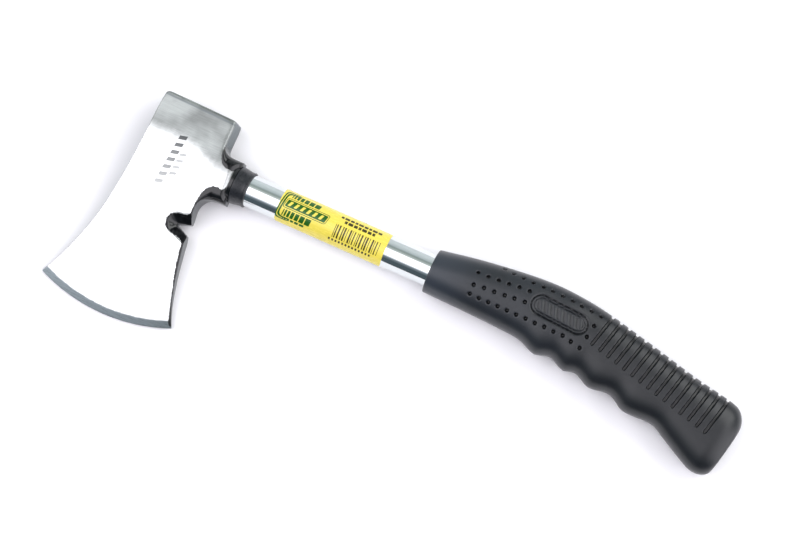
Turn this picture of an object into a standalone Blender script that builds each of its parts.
"""Hatchet with a forged head, a bright steel tube for a handle and a moulded rubber grip.

Everything is drawn in one drawing frame and then laid on its side, as it rests on a bench.
In the drawing frame +X runs along the tube from the head to the butt, +Y points to the poll,
-Y to the cutting edge, and Z is the thickness.  Its origin is on the tube's axis, at the
ferrule's rim.  Lengths are in metres.
"""
import math

import bmesh
import bpy
from mathutils import Matrix, Vector

COLLECTION_NAME = "tube_handle_hatchet"

GAP = 0.0003                    # clearance between pieces that touch
OVERRUN = 0.0050                # how far a cutter runs past what it cuts

# Handle tube
TUBE_DIAMETER = 0.0220
TUBE_WALL = 0.0018
BARE_LENGTH = 0.1315            # bright tube between the ferrule and the grip
TUBE_SIDES = 32

# Ferrule over the joint of tube and head
FERRULE_LENGTH = 0.0102
FERRULE_HEAD_WALL = 0.0017      # at the end that meets the head
FERRULE_RIM_WALL = 0.0006
FERRULE_LIP = 0.0014            # turned lip at the rim
FERRULE_HOLLOW = 0.0003         # how far the cone is drawn in between its ends
FERRULE_CHAMFER = 0.0004

# Spigot of the head inside the tube, and the pin that locks it
SPIGOT_LENGTH = 0.0300
PIN_DIAMETER = 0.0050

# Grip, measured along its curved centreline
GRIP_LENGTH = 0.2228
GRIP_FRONT_WALL = 0.0036        # rubber over the tube at the front end
GRIP_SIDE_WALL = 0.0042         # rubber over the tube on both flat sides
GRIP_BEAD = 0.0008              # rounded lip at the front end
GRIP_EASE = 0.3                 # share over which the front's circle turns into the full section
BEND_ANGLE = math.radians(18)
BEND_START = 0.373              # where the bend starts and ends, as shares of the grip
BEND_END = 0.711
BUTT_COVER = 0.0280             # rubber behind the tube's end
BUTT_ROUND = 0.0120             # how far the butt's rounding draws in the back, the fingers' side
BUTT_FINGER_ROUND = 0.0084      # and the flat sides
BUTT_SIDE_ROUND = 0.0054
BUTT_SLANT = 0.11
BUTT_SLANT_START = 0.85
RIB_COUNT = 15
RIB_WIDTH = 0.0026
RIB_DEPTH = 0.0010
RIB_START = 0.520
RIB_END = 0.916
RIB_LOWER_END = -0.0035         # height on the side where the ribs stop

# Rubber over the tube on the grip's back and on its finger side, as (share of the length, metres)
GRIP_BACK = (
    (0.118, 0.0082), (0.240, 0.0116), (0.345, 0.0133), (0.450, 0.0126),
    (0.612, 0.0109), (0.785, 0.0132), (0.925, 0.0169), (1.000, 0.0169),
)
GRIP_FINGERS = (
    (0.127, 0.0043), (0.262, 0.0055), (0.318, 0.0069), (0.371, 0.0112), (0.421, 0.0088),
    (0.475, 0.0123), (0.517, 0.0100), (0.575, 0.0129), (0.643, 0.0087), (0.708, 0.0111),
    (0.795, 0.0053), (0.850, 0.0071), (0.940, 0.0107), (1.000, 0.0107),
)

# Plug in the tube's butt end
PLUG_HEAD = 0.0030
PLUG_SHANK = 0.0120
PLUG_CHAMFER = 0.0008

# Label round the tube
LABEL_START = 0.0230
LABEL_LENGTH = 0.0766
LABEL_THICKNESS = 0.0002
LABEL_GAP = 0.00015
LABEL_OPENING = math.radians(140)      # bare strip of tube under the handle

# Head, measured from the flange that faces the ferrule and from the tube's axis
POLL_THICKNESS = 0.0230
POLL_HEIGHT = 0.0380
NECK_LENGTH = 0.0150
NECK_RISE = 0.0017              # neck above the ferrule, on the poll's side
NECK_DROP = 0.0029              # and below it, on the edge's side
NECK_ROUND = 0.0085
NECK_INSET = 0.0002             # neck's sides inside the poll's flats
BOLSTER_LENGTH = 0.0022         # round collar of the neck, against the ferrule
FILLET = 0.0052                 # between the neck and the poll
ARCH_DEPTH = 0.0024             # the arch under the neck, behind the poll's back wall
ARCH_DROP = 0.0085
CORNER_ROUND = 0.0009
HEAD_WIDTH = 0.0676             # flange to the front of the poll
TOE_REACH = 0.0955              # flange to the toe
EDGE_DEPTH = 0.1141             # axis to the lowest point of the cutting edge
EDGE_RADIUS = 0.1250
EDGE_CENTRE = 0.0475            # flange to the middle of the edge's curve
EDGE_LAND = 0.0003              # thickness left at the cutting edge
EDGE_BEVEL = 0.0050
BEVEL_THICKNESS = 0.0030        # thickness where the edge bevel starts
FLANK_START = 0.0120            # height where the ground flank leaves the poll's flat

# Nail slot at the back of the blade
SLOT_HEIGHT = -0.0408
SLOT_MOUTH = 0.0074
SLOT_DEPTH = 0.0085
SLOT_APEX_RADIUS = 0.0009
JAW_LIP = 0.0010                # steel that the slot's mouth stands in front of the arch and the heel
DISH_FLOOR = 0.0026             # half the thickness left at the jaws
DISH_MARGIN = 0.0007            # flat left round the slot
DISH_SLOPE = 1.245              # run of the dish's side for each unit that it rises

FLANGE_X = -FERRULE_LENGTH - GAP
TUBE_RADIUS = TUBE_DIAMETER / 2
BORE_RADIUS = TUBE_RADIUS - TUBE_WALL
SLEEVE_RADIUS = TUBE_RADIUS + GAP               # bore of what slides over the tube
FERRULE_RADIUS = SLEEVE_RADIUS + FERRULE_HEAD_WALL
NECK_TOP = FERRULE_RADIUS + NECK_RISE
NECK_BOTTOM = FERRULE_RADIUS + NECK_DROP
JAW_X = FLANGE_X - NECK_LENGTH - 0.0006         # mouth of the nail slot

DENSITY = {
    "head": 7850, "ferrule": 7850, "handle_tube": 7850, "lock_pin": 7850,
    "tube_plug": 950, "grip": 1150, "label": 1100,
}


# ---------------------------------------------------------------- scene helpers

def clear_scene():
    for obj in list(bpy.data.objects):
        bpy.data.objects.remove(obj, do_unlink=True)


def new_collection(name):
    collection = bpy.data.collections.new(name)
    bpy.context.scene.collection.children.link(collection)
    return collection


def make_material(name, colour, roughness, metallic):
    material = bpy.data.materials.new(name)
    material.use_nodes = True
    shader = material.node_tree.nodes["Principled BSDF"]
    shader.inputs["Base Color"].default_value = (*colour, 1.0)
    shader.inputs["Roughness"].default_value = roughness
    shader.inputs["Metallic"].default_value = metallic
    return material


def mesh_object(name, bm, collection):
    bmesh.ops.recalc_face_normals(bm, faces=bm.faces)
    mesh = bpy.data.meshes.new(name)
    bm.to_mesh(mesh)
    bm.free()
    obj = bpy.data.objects.new(name, mesh)
    collection.objects.link(obj)
    return obj


def curve_to_mesh(curve_object, name, collection):
    """Replaces a curve by its mesh, with the loose caps welded on."""
    graph = bpy.context.evaluated_depsgraph_get()
    mesh = bpy.data.meshes.new_from_object(curve_object.evaluated_get(graph))
    bm = bmesh.new()
    bm.from_mesh(mesh)
    bpy.data.meshes.remove(mesh)
    bmesh.ops.remove_doubles(bm, verts=bm.verts, dist=1e-6)
    placement = curve_object.matrix_world.copy()
    bpy.data.objects.remove(curve_object, do_unlink=True)
    obj = mesh_object(name, bm, collection)
    obj.matrix_world = placement
    return obj


def swept_rod(name, points, radius, sides, collection):
    """A round rod along a polyline, as a closed mesh."""
    curve = bpy.data.curves.new(name, "CURVE")
    curve.dimensions = "3D"
    curve.bevel_depth = radius
    curve.bevel_resolution = (sides - 4) // 2
    curve.use_fill_caps = True
    spline = curve.splines.new("POLY")
    spline.points.add(len(points) - 1)
    for point, place in zip(spline.points, points):
        point.co = (*place, 1.0)
    curve_object = bpy.data.objects.new(name, curve)
    collection.objects.link(curve_object)
    return curve_to_mesh(curve_object, name, collection)


def turned(name, profile, steps, collection):
    """A solid of revolution about the X axis; the profile is (distance along X, radius)."""
    bm = bmesh.new()
    verts = [bm.verts.new((radius, 0.0, -along)) for along, radius in profile]
    for first, second in zip(verts, verts[1:] + verts[:1]):
        if first.co.x > 0 or second.co.x > 0:
            bm.edges.new((first, second))
    mesh = bpy.data.meshes.new(name)
    bm.to_mesh(mesh)
    bm.free()
    obj = bpy.data.objects.new(name, mesh)
    collection.objects.link(obj)
    screw = obj.modifiers.new("turn", "SCREW")
    screw.axis = "Z"
    screw.steps = steps
    screw.render_steps = steps
    screw.use_merge_vertices = True
    screw.merge_threshold = 0.00001
    obj.rotation_euler = (0.0, -math.pi / 2, 0.0)
    return obj


def outline_prism(name, points, half_thickness, collection):
    """A flat outline, drawn as a 2D curve, with the given half thickness.

    A point is (x, y, handle), where the handle is AUTO on a smooth stretch and VECTOR
    at a corner.
    """
    curve = bpy.data.curves.new(name, "CURVE")
    curve.dimensions = "2D"
    curve.fill_mode = "BOTH"
    curve.extrude = half_thickness
    curve.resolution_u = 5
    spline = curve.splines.new("BEZIER")
    spline.use_cyclic_u = True
    spline.bezier_points.add(len(points) - 1)
    for bezier, (x, y, handle) in zip(spline.bezier_points, points):
        bezier.co = (x, y, 0.0)
        bezier.handle_left_type = handle
        bezier.handle_right_type = handle
    curve_object = bpy.data.objects.new(name, curve)
    collection.objects.link(curve_object)
    obj = curve_to_mesh(curve_object, name, collection)
    bm = bmesh.new()
    bm.from_mesh(obj.data)
    within = [edge for edge in bm.edges if edge.calc_face_angle(0.0) < 1e-4]
    bmesh.ops.dissolve_edges(bm, edges=within, use_verts=False)
    bm.to_mesh(obj.data)
    bm.free()
    return obj


def hull_of_discs(name, discs, collection):
    """The convex hull of flat discs, each given as (x, y, z, radius)."""
    sides = 24
    bm = bmesh.new()
    for x, y, z, radius in discs:
        for step in range(sides):
            turn = 2 * math.pi * step / sides
            bm.verts.new((x + radius * math.cos(turn), y + radius * math.sin(turn), z))
    hull = bmesh.ops.convex_hull(bm, input=bm.verts)
    spare = {item for item in hull["geom_interior"] if isinstance(item, bmesh.types.BMVert)}
    bmesh.ops.delete(bm, geom=list(spare), context="VERTS")
    return mesh_object(name, bm, collection)


def boolean(target, cutter, operation="DIFFERENCE"):
    cutter.hide_render = True
    cutter.display_type = "WIRE"
    modifier = target.modifiers.new(cutter.name, "BOOLEAN")
    modifier.object = cutter
    modifier.operation = operation
    modifier.solver = "EXACT"


def smooth(obj):
    obj.data.shade_smooth()
    obj.data.set_sharp_from_angle(angle=math.radians(35))


# ---------------------------------------------------------------- handle centreline

def centreline(distance):
    """Point, direction and side vector of the tube's axis at a distance from the ferrule's rim.

    The side vector points to the poll's side.  The tube is straight up to the bend in the
    grip, and straight again behind it.
    """
    bend_from = BARE_LENGTH + GAP + BEND_START * GRIP_LENGTH
    bend_length = (BEND_END - BEND_START) * GRIP_LENGTH
    radius = bend_length / BEND_ANGLE
    into_bend = min(max(distance - bend_from, 0.0), bend_length)
    angle = into_bend / radius
    straight = min(distance, bend_from)
    tail = max(distance - bend_from - bend_length, 0.0)
    direction = Vector((math.cos(angle), -math.sin(angle), 0.0))
    side = Vector((math.sin(angle), math.cos(angle), 0.0))
    point = Vector((straight + radius * math.sin(angle), -radius * (1 - math.cos(angle)), 0.0))
    return point + tail * direction, direction, side


def centreline_points(start, end):
    """Polyline of the axis: its two ends, and a point every 2.25 degrees of the bend."""
    bend_from = BARE_LENGTH + GAP + BEND_START * GRIP_LENGTH
    bend_length = (BEND_END - BEND_START) * GRIP_LENGTH
    steps = 8
    stops = [bend_from + bend_length * step / steps for step in range(steps + 1)]
    distances = [start] + [stop for stop in stops if start < stop < end] + [end]
    return [centreline(distance)[0] for distance in distances]


def grip_start():
    return BARE_LENGTH + GAP


def tube_end():
    return grip_start() + GRIP_LENGTH - BUTT_COVER


# ---------------------------------------------------------------- grip shape

def through_points(points, position):
    """Smooth curve through (position, value) points, flat before the first and after the last."""
    if position <= points[0][0]:
        return points[0][1]
    if position >= points[-1][0]:
        return points[-1][1]
    index = max(i for i, point in enumerate(points[:-1]) if point[0] <= position)
    (x1, y1), (x2, y2) = points[index], points[index + 1]
    x0, y0 = points[index - 1] if index else (x1, y1)
    x3, y3 = points[index + 2] if index + 2 < len(points) else (x2, y2)
    slope1 = (y2 - y0) / (x2 - x0) * (x2 - x1)
    slope2 = (y3 - y1) / (x3 - x1) * (x2 - x1)
    t = (position - x1) / (x2 - x1)
    return (y1 * (2 * t**3 - 3 * t**2 + 1) + slope1 * (t**3 - 2 * t**2 + t)
            + y2 * (3 * t**2 - 2 * t**3) + slope2 * (t**3 - t**2))


def grip_size(share):
    """Heights of the back and of the finger side, and half the thickness, at a share of the grip."""
    front = ((0.0, GRIP_FRONT_WALL),)
    back = SLEEVE_RADIUS + through_points(front + GRIP_BACK, share)
    fingers = SLEEVE_RADIUS + through_points(front + GRIP_FINGERS, share)
    eased = min(share / GRIP_EASE, 1.0)
    half = SLEEVE_RADIUS + GRIP_FRONT_WALL + (GRIP_SIDE_WALL - GRIP_FRONT_WALL) * eased
    return back, fingers, half


def section_point(share, turn, round_off=0.0):
    """Point of the grip's surface; turn is 0 at the back, a quarter at +Z, a half at the fingers.

    The section is a circle at the front end and a rounder kind of square further on, and
    round_off is the share of the butt's rounding that it is drawn in by.
    """
    back, fingers, half = grip_size(share)
    back -= BUTT_ROUND * round_off
    fingers -= BUTT_FINGER_ROUND * round_off
    half -= BUTT_SIDE_ROUND * round_off
    squareness = 2.0 + 0.5 * min(share / GRIP_EASE, 1.0)
    cosine, sine = math.cos(turn), math.sin(turn)
    across = (back - fingers) / 2
    across += (back + fingers) / 2 * math.copysign(abs(cosine) ** (2 / squareness), cosine)
    height = half * math.copysign(abs(sine) ** (2 / squareness), sine)
    slant = BUTT_SLANT * across * max(share - BUTT_SLANT_START, 0.0) / (1.0 - BUTT_SLANT_START)
    point, direction, side = centreline(grip_start() + share * GRIP_LENGTH)
    return point - slant * direction + across * side + height * Vector((0.0, 0.0, 1.0))


def grip_stations():
    """(share, round_off) of every section, from the front to the butt."""
    stations = [(0.0, GRIP_BEAD / BUTT_ROUND), (GRIP_BEAD / GRIP_LENGTH, 0.0)]
    steps = 54
    last = 1.0 - BUTT_ROUND / GRIP_LENGTH
    stations += [(last * step / steps, 0.0) for step in range(1, steps + 1)]
    for degrees in (30, 50, 68, 82, 90):
        turn = math.radians(degrees)
        stations.append((last + (1.0 - last) * math.sin(turn), 1.0 - math.cos(turn)))
    return stations


def loft(rings, bm):
    """Closes a row of point rings of equal length into a solid."""
    rings = [[bm.verts.new(point) for point in ring] for ring in rings]
    for ring, following in zip(rings, rings[1:]):
        for step, corner in enumerate(ring):
            after = (step + 1) % len(ring)
            bm.faces.new((corner, ring[after], following[after], following[step]))
    bm.faces.new(rings[0])
    bm.faces.new(list(reversed(rings[-1])))


def rib_points(share):
    """Path of one rib groove: up one side of the grip, over its back and down the other."""
    back, fingers, _ = grip_size(share)
    lowest = math.acos((RIB_LOWER_END - (back - fingers) / 2) / ((back + fingers) / 2))
    axis_point = centreline(grip_start() + share * GRIP_LENGTH)[0]
    lift = RIB_WIDTH / 2 - RIB_DEPTH
    steps = 11
    points = []
    for step in range(steps + 1):
        surface = section_point(share, lowest * (2 * step / steps - 1))
        points.append(surface + lift * (surface - axis_point).normalized())
    return points


def make_grip(parts, cutters):
    around = 36
    turns = [2 * math.pi * step / around for step in range(around)]
    bm = bmesh.new()
    loft([[section_point(share, turn, round_off) for turn in turns]
          for share, round_off in grip_stations()], bm)
    grip = mesh_object("grip", bm, parts)
    bore_path = centreline_points(grip_start() - OVERRUN, tube_end() + PLUG_HEAD + 2 * GAP)
    boolean(grip, swept_rod("grip_bore", bore_path, SLEEVE_RADIUS, TUBE_SIDES, cutters))
    for index in range(RIB_COUNT):
        share = RIB_START + (RIB_END - RIB_START) * index / (RIB_COUNT - 1)
        groove = swept_rod(f"rib_groove_{index + 1}", rib_points(share), RIB_WIDTH / 2, 8, cutters)
        boolean(grip, groove)
    smooth(grip)
    grip.data.materials.append(make_material("black_rubber", (0.045, 0.05, 0.058), 0.55, 0.0))
    return grip


# ---------------------------------------------------------------- tube and what is on it

def make_tube(parts, cutters):
    start = FLANGE_X + GAP
    tube = swept_rod("handle_tube", centreline_points(start, tube_end()),
                     TUBE_RADIUS, TUBE_SIDES, parts)
    bore = swept_rod("tube_bore", centreline_points(start - OVERRUN, tube_end() + OVERRUN),
                     BORE_RADIUS, TUBE_SIDES, cutters)
    boolean(tube, bore)
    smooth(tube)
    tube.data.materials.append(make_material("chromed_steel", (0.80, 0.82, 0.83), 0.08, 1.0))
    return tube


def make_ferrule(parts):
    """A turned cone over the joint, from the head's bolster down to a thin rim on the tube."""
    rim = SLEEVE_RADIUS + FERRULE_RIM_WALL
    waist = (rim + FERRULE_RADIUS) / 2 - FERRULE_HOLLOW
    length = FERRULE_LENGTH
    profile = [(-length, FERRULE_RADIUS - FERRULE_CHAMFER), (-length + FERRULE_CHAMFER, FERRULE_RADIUS),
               (-length * 0.72, FERRULE_RADIUS - FERRULE_HOLLOW), (-length * 0.4, waist),
               (-FERRULE_LIP, rim + FERRULE_CHAMFER), (-FERRULE_CHAMFER, rim),
               (0.0, rim - FERRULE_CHAMFER), (0.0, SLEEVE_RADIUS), (-length, SLEEVE_RADIUS)]
    ferrule = turned("ferrule", profile, 40, parts)
    smooth(ferrule)
    ferrule.data.materials.append(make_material("black_paint", (0.03, 0.033, 0.038), 0.35, 0.0))
    return ferrule


def upright_cylinder(name, radius, depth, collection):
    """A cylinder across the tube, in the middle of the ferrule."""
    bpy.ops.mesh.primitive_cylinder_add(vertices=24, radius=radius, depth=depth,
                                        location=(-FERRULE_LENGTH / 2, 0.0, 0.0))
    cylinder = bpy.context.object
    cylinder.name = name
    move_to(cylinder, collection)
    return cylinder


def make_pin(parts, cutters):
    """The pin that locks tube and spigot under the ferrule, and the cutter of its hole."""
    flush = 2 * math.sqrt(TUBE_RADIUS**2 - PIN_DIAMETER**2 / 4)
    pin = upright_cylinder("lock_pin", PIN_DIAMETER / 2, flush, parts)
    smooth(pin)
    pin.data.materials.append(make_material("pin_steel", (0.55, 0.56, 0.57), 0.35, 1.0))
    hole = upright_cylinder("pin_hole", PIN_DIAMETER / 2 + GAP, TUBE_DIAMETER + 2 * OVERRUN, cutters)
    return pin, hole


def move_to(obj, collection):
    for owner in list(obj.users_collection):
        owner.objects.unlink(obj)
    collection.objects.link(obj)


def make_plug(parts):
    """The plug that closes the tube's butt end inside the grip."""
    shank = BORE_RADIUS - GAP
    profile = [(-PLUG_SHANK, 0.0), (-PLUG_SHANK, shank - PLUG_CHAMFER),
               (-PLUG_SHANK + PLUG_CHAMFER, shank), (GAP, shank), (GAP, TUBE_RADIUS),
               (GAP + PLUG_HEAD - PLUG_CHAMFER, TUBE_RADIUS),
               (GAP + PLUG_HEAD, TUBE_RADIUS - PLUG_CHAMFER), (GAP + PLUG_HEAD, 0.0)]
    plug = turned("tube_plug", profile, TUBE_SIDES, parts)
    point, direction, _ = centreline(tube_end())
    bend = math.atan2(direction.y, direction.x)
    along = Matrix.Rotation(-math.pi / 2, 3, "Y")
    plug.location = point
    plug.rotation_euler = (Matrix.Rotation(bend, 3, "Z") @ along).to_euler()
    smooth(plug)
    plug.data.materials.append(make_material("plug_plastic", (0.06, 0.06, 0.06), 0.5, 0.0))
    return plug


def make_label(parts):
    """A sheet bent round the tube, with its open side under the handle."""
    inner = TUBE_RADIUS + LABEL_GAP
    ends = (LABEL_START, LABEL_START + LABEL_LENGTH)
    span = 2 * math.pi - LABEL_OPENING
    steps = 44
    bm = bmesh.new()
    rows = []
    for step in range(steps + 1):
        turn = math.pi / 2 - span / 2 + span * step / steps
        across, height = inner * math.cos(turn), inner * math.sin(turn)
        rows.append([bm.verts.new((along, across, height)) for along in ends])
    for row, following in zip(rows, rows[1:]):
        bm.faces.new((row[0], row[1], following[1], following[0]))
    label = mesh_object("label", bm, parts)
    first = label.data.polygons[0]
    if first.normal.dot(first.center * Vector((0.0, 1.0, 1.0))) < 0:
        label.data.flip_normals()
    sheet = label.modifiers.new("sheet", "SOLIDIFY")
    sheet.thickness = LABEL_THICKNESS
    sheet.offset = 1.0
    smooth(label)
    label.data.materials.append(make_material("printed_label", (0.85, 0.78, 0.10), 0.45, 0.0))
    return label


# ---------------------------------------------------------------- head

def flange_to(distance):
    """X of a place that is the given distance in front of the flange."""
    return FLANGE_X - distance


def blade_outline():
    """Side view of blade and poll.  Below, it runs past the cutting edge, which is turned later."""
    rear = flange_to(NECK_LENGTH)
    front = flange_to(HEAD_WIDTH)
    toe = flange_to(TOE_REACH)
    below = -EDGE_DEPTH - OVERRUN
    jaw_top = SLOT_HEIGHT + SLOT_MOUTH / 2 + JAW_LIP
    jaw_bottom = SLOT_HEIGHT - SLOT_MOUTH / 2 - JAW_LIP / 2
    return (
        # Poll: its rounded front corner, the slightly falling top and the square rear corner
        (front + 0.0003, POLL_HEIGHT - 0.0045, "AUTO"),
        (front + 0.0022, POLL_HEIGHT - 0.0006, "AUTO"),
        (front + 0.0058, POLL_HEIGHT + 0.0007, "VECTOR"),
        (rear - 0.0010, POLL_HEIGHT - 0.0005, "VECTOR"),
        (rear, POLL_HEIGHT - 0.0015, "VECTOR"),
        # Back: hidden in the neck, then the arch below it and the two jaws
        (rear, 0.0, "VECTOR"),
        (rear - ARCH_DEPTH, -NECK_BOTTOM - ARCH_DROP, "AUTO"),
        (JAW_X, jaw_top, "VECTOR"),
        (JAW_X + 0.0006, jaw_bottom, "VECTOR"),
        # Heel side, which sweeps back to the heel, and the run-out below the edge
        (FLANGE_X - 0.0120, SLOT_HEIGHT - 0.0230, "AUTO"),
        (FLANGE_X - 0.0060, -EDGE_DEPTH + 0.0250, "AUTO"),
        (FLANGE_X + 0.0025, -EDGE_DEPTH + 0.0060, "VECTOR"),
        (FLANGE_X + 0.0060, below, "VECTOR"),
        (toe - 0.0060, below, "VECTOR"),
        # Toe side, a long hollow curve back up to the poll
        (toe, -EDGE_DEPTH + 0.0090, "VECTOR"),
        ((front + toe) / 2 - 0.0027, -EDGE_DEPTH * 0.71, "AUTO"),
        (front - 0.0073, -EDGE_DEPTH * 0.44, "AUTO"),
        (front - 0.0035, -EDGE_DEPTH * 0.22, "AUTO"),
        (front - 0.0005, FLANK_START, "AUTO"),
    )


def rounded_section(x, low, high, half, radius):
    """Rounded rectangle across the neck, between two heights, as a list of points."""
    steps = 5
    points = []
    corners = ((high, half, 0), (low, half, 1), (low, -half, 2), (high, -half, 3))
    for y, z, quarter in corners:
        centre_y = y - math.copysign(radius, y)
        centre_z = z - math.copysign(radius, z)
        for step in range(steps + 1):
            turn = math.pi / 2 * (quarter + step / steps)
            points.append(Vector((x, centre_y + radius * math.cos(turn),
                                  centre_z + radius * math.sin(turn))))
    return points


def make_neck(cutters):
    """Loft from the flange into the head; it flares into the poll and into the arch below."""
    half = POLL_THICKNESS / 2 - NECK_INSET
    rear = flange_to(NECK_LENGTH)
    # Share of the way from flange to poll, flare above, flare below, corner radius
    flares = ((0.0, 0.0, 0.0, 1.0), (0.40, 0.0, 0.0, 1.0), (0.60, 0.03, 0.04, 0.95),
              (0.75, 0.11, 0.12, 0.88), (0.88, 0.36, 0.26, 0.76), (1.0, 1.0, 0.42, 0.5))
    rings = []
    for share, above, under, rounding in flares:
        x = FLANGE_X - GAP + (rear - FLANGE_X) * share
        rings.append(rounded_section(x, -NECK_BOTTOM - ARCH_DROP * under, NECK_TOP + FILLET * above,
                                     half, NECK_ROUND * rounding))
    rings.append(rounded_section(rear - ARCH_DEPTH, -NECK_BOTTOM - ARCH_DROP, NECK_TOP + FILLET * 0.9,
                                 half, NECK_ROUND * 0.4))
    bm = bmesh.new()
    loft(rings, bm)
    return mesh_object("neck", bm, cutters)


def make_head(parts, cutters, pin_hole):
    half = POLL_THICKNESS / 2
    head = outline_prism("head", blade_outline(), half, parts)
    bevel = head.modifiers.new("poll_edges", "BEVEL")
    bevel.limit_method = "ANGLE"
    bevel.angle_limit = math.radians(50)
    bevel.width = CORNER_ROUND
    bevel.segments = 2
    bevel.use_clamp_overlap = False

    boolean(head, make_neck(cutters), "UNION")
    boolean(head, make_wedge(cutters), "INTERSECT")
    boolean(head, make_edge_grind(cutters), "INTERSECT")
    for cutter in make_slot(cutters):
        boolean(head, cutter)

    spigot = make_spigot(cutters)
    boolean(head, spigot, "UNION")
    boolean(head, pin_hole)
    smooth(head)
    head.data.materials.append(make_material("ground_steel", (0.55, 0.57, 0.57), 0.30, 1.0))
    return head


def make_spigot(cutters):
    """Spigot that fills the tube's end, with the round bolster that backs the ferrule."""
    fit = BORE_RADIUS - GAP
    end = FLANGE_X + SPIGOT_LENGTH
    chamfer = 0.0010
    root = FLANGE_X - 3 * BOLSTER_LENGTH
    profile = [(root, 0.0), (root, BORE_RADIUS), (FLANGE_X - 2 * BOLSTER_LENGTH, BORE_RADIUS),
               (FLANGE_X - BOLSTER_LENGTH, FERRULE_RADIUS),
               (FLANGE_X - FERRULE_CHAMFER, FERRULE_RADIUS), (FLANGE_X, FERRULE_RADIUS - FERRULE_CHAMFER),
               (FLANGE_X, fit), (end - chamfer, fit), (end, fit - chamfer), (end, 0.0)]
    return turned("spigot", profile, 40, cutters)


def make_wedge(cutters):
    """Prism whose two faces are the ground flanks, from the poll's flats to the edge bevel."""
    half = POLL_THICKNESS / 2
    slope = (half - BEVEL_THICKNESS / 2) / (FLANK_START + EDGE_DEPTH - EDGE_BEVEL)
    top = POLL_HEIGHT + 2 * OVERRUN
    bottom = -EDGE_DEPTH - OVERRUN - 0.0020
    half_top = half + slope * (top - FLANK_START)
    half_bottom = half - slope * (FLANK_START - bottom)
    corners = ((top, half_top), (bottom, half_bottom), (bottom, -half_bottom), (top, -half_top))
    near = flange_to(TOE_REACH) - 4 * OVERRUN
    far = FLANGE_X + 4 * OVERRUN
    bm = bmesh.new()
    face = bm.faces.new([bm.verts.new((near, y, z)) for y, z in corners])
    grown = bmesh.ops.extrude_face_region(bm, geom=[face])
    moved = [item for item in grown["geom"] if isinstance(item, bmesh.types.BMVert)]
    bmesh.ops.translate(bm, verts=moved, vec=(far - near, 0.0, 0.0))
    return mesh_object("flank_wedge", bm, cutters)


def make_edge_grind(cutters):
    """Turned disc whose rim is the cutting edge and whose cones are the edge bevels."""
    hub = POLL_THICKNESS / 2 + 0.0015
    steps = 96
    side = [(hub, 0.0), (hub, EDGE_RADIUS * 0.48),
            (BEVEL_THICKNESS / 2 + 0.0024, EDGE_RADIUS - 5 * EDGE_BEVEL),
            (BEVEL_THICKNESS / 2, EDGE_RADIUS - EDGE_BEVEL), (EDGE_LAND / 2, EDGE_RADIUS)]
    profile = [(-along, radius) for along, radius in side]
    profile += reversed(side)
    disc = turned("edge_grind", profile, steps, cutters)
    disc.rotation_euler = (0.0, 0.0, math.pi / steps)
    disc.location = (flange_to(EDGE_CENTRE), EDGE_RADIUS - EDGE_DEPTH, 0.0)
    return disc


def make_slot(cutters):
    """The nail slot, a wedge-shaped notch, and the dishes that thin its jaws on both faces."""
    apex_x = JAW_X - SLOT_DEPTH + SLOT_APEX_RADIUS
    apex_y = SLOT_HEIGHT + 0.0005
    end_x = JAW_X + OVERRUN
    flare = (SLOT_MOUTH / 2 - SLOT_APEX_RADIUS) / (SLOT_DEPTH - SLOT_APEX_RADIUS)
    end_radius = SLOT_MOUTH / 2 + flare * OVERRUN
    discs = [(x, y, z, radius) for z in (-POLL_THICKNESS, POLL_THICKNESS)
             for x, y, radius in ((apex_x, apex_y, SLOT_APEX_RADIUS), (end_x, SLOT_HEIGHT, end_radius))]
    cutting = [hull_of_discs("nail_slot", discs, cutters)]
    rise = POLL_THICKNESS / 2 - DISH_FLOOR
    for name, side in (("dish_up", 1), ("dish_down", -1)):
        discs = []
        for z, grown in ((DISH_FLOOR, DISH_MARGIN), (DISH_FLOOR + rise, DISH_MARGIN + DISH_SLOPE * rise)):
            discs += [(apex_x, apex_y, side * z, SLOT_APEX_RADIUS + grown),
                      (end_x, SLOT_HEIGHT, side * z, end_radius + grown)]
        cutting.append(hull_of_discs(name, discs, cutters))
    return cutting


# ---------------------------------------------------------------- laying it down

def solid_moments(obj, graph):
    """Vertices, volume and centroid of an object's evaluated mesh."""
    bm = bmesh.new()
    bm.from_object(obj, graph)
    bm.transform(obj.matrix_world)
    bmesh.ops.triangulate(bm, faces=bm.faces)
    volume = 0.0
    moment = Vector((0.0, 0.0, 0.0))
    for face in bm.faces:
        a, b, c = (vert.co for vert in face.verts)
        slice_volume = a.dot(b.cross(c)) / 6
        volume += slice_volume
        moment += slice_volume * (a + b + c) / 4
    points = [vert.co.copy() for vert in bm.verts]
    bm.free()
    return points, volume, moment / volume


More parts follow.
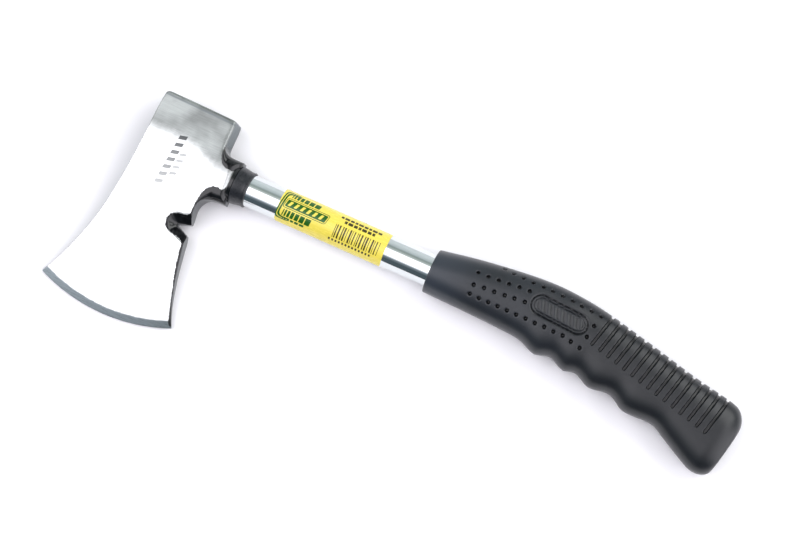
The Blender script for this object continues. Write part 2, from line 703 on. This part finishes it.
def resting_face(points, centre):
    """Outward normal of the hull face that the object comes to rest on, on its -Z side."""
    hull = bmesh.new()
    for point in points:
        hull.verts.new(point)
    bmesh.ops.convex_hull(hull, input=hull.verts)
    best = None
    for face in hull.faces:
        normal = face.normal
        if normal.z > -0.8:
            continue
        height = (face.verts[0].co - centre).dot(normal)
        foot = centre + height * normal
        corners = [vert.co for vert in face.verts]
        turns = [(second - first).cross(foot - first).dot(normal)
                 for first, second in zip(corners, corners[1:] + corners[:1])]
        if min(turns) >= 0 and (best is None or height < best[0]):
            best = (height, normal.copy())
    hull.free()
    return best[1]


def lay_down(objects):
    """Parents the pieces to an empty that turns them into the pose they rest in."""
    bpy.context.view_layer.update()
    graph = bpy.context.evaluated_depsgraph_get()
    points = []
    mass = 0.0
    moment = Vector((0.0, 0.0, 0.0))
    for obj in objects:
        found, volume, centroid = solid_moments(obj, graph)
        points += found
        mass += DENSITY[obj.name] * volume
        moment += DENSITY[obj.name] * volume * centroid
    normal = resting_face(points, moment / mass)
    tilt = normal.rotation_difference(Vector((0.0, 0.0, -1.0))).to_matrix()
    axis = tilt @ Vector((1.0, 0.0, 0.0))
    turn = Matrix.Rotation(-math.atan2(axis.y, axis.x), 3, "Z") @ tilt
    turned_points = [turn @ point for point in points]
    low = [min(point[i] for point in turned_points) for i in range(3)]
    high = [max(point[i] for point in turned_points) for i in range(3)]
    rest = bpy.data.objects.new("rest_pose", None)
    bpy.context.scene.collection.objects.link(rest)
    rest.rotation_euler = turn.to_euler()
    rest.location = (-(low[0] + high[0]) / 2, -(low[1] + high[1]) / 2, -low[2])
    for obj in objects:
        obj.parent = rest


def main():
    clear_scene()
    parts = new_collection(COLLECTION_NAME)
    cutters = new_collection("cutters")
    pin, pin_hole = make_pin(parts, cutters)
    head = make_head(parts, cutters, pin_hole)
    tube = make_tube(parts, cutters)
    boolean(tube, pin_hole)
    pieces = [head, tube, pin, make_ferrule(parts), make_plug(parts), make_grip(parts, cutters),
              make_label(parts)]
    lay_down(pieces)
    for cutter in cutters.objects:
        cutter.parent = pieces[0].parent


if __name__ == "__main__":
    main()
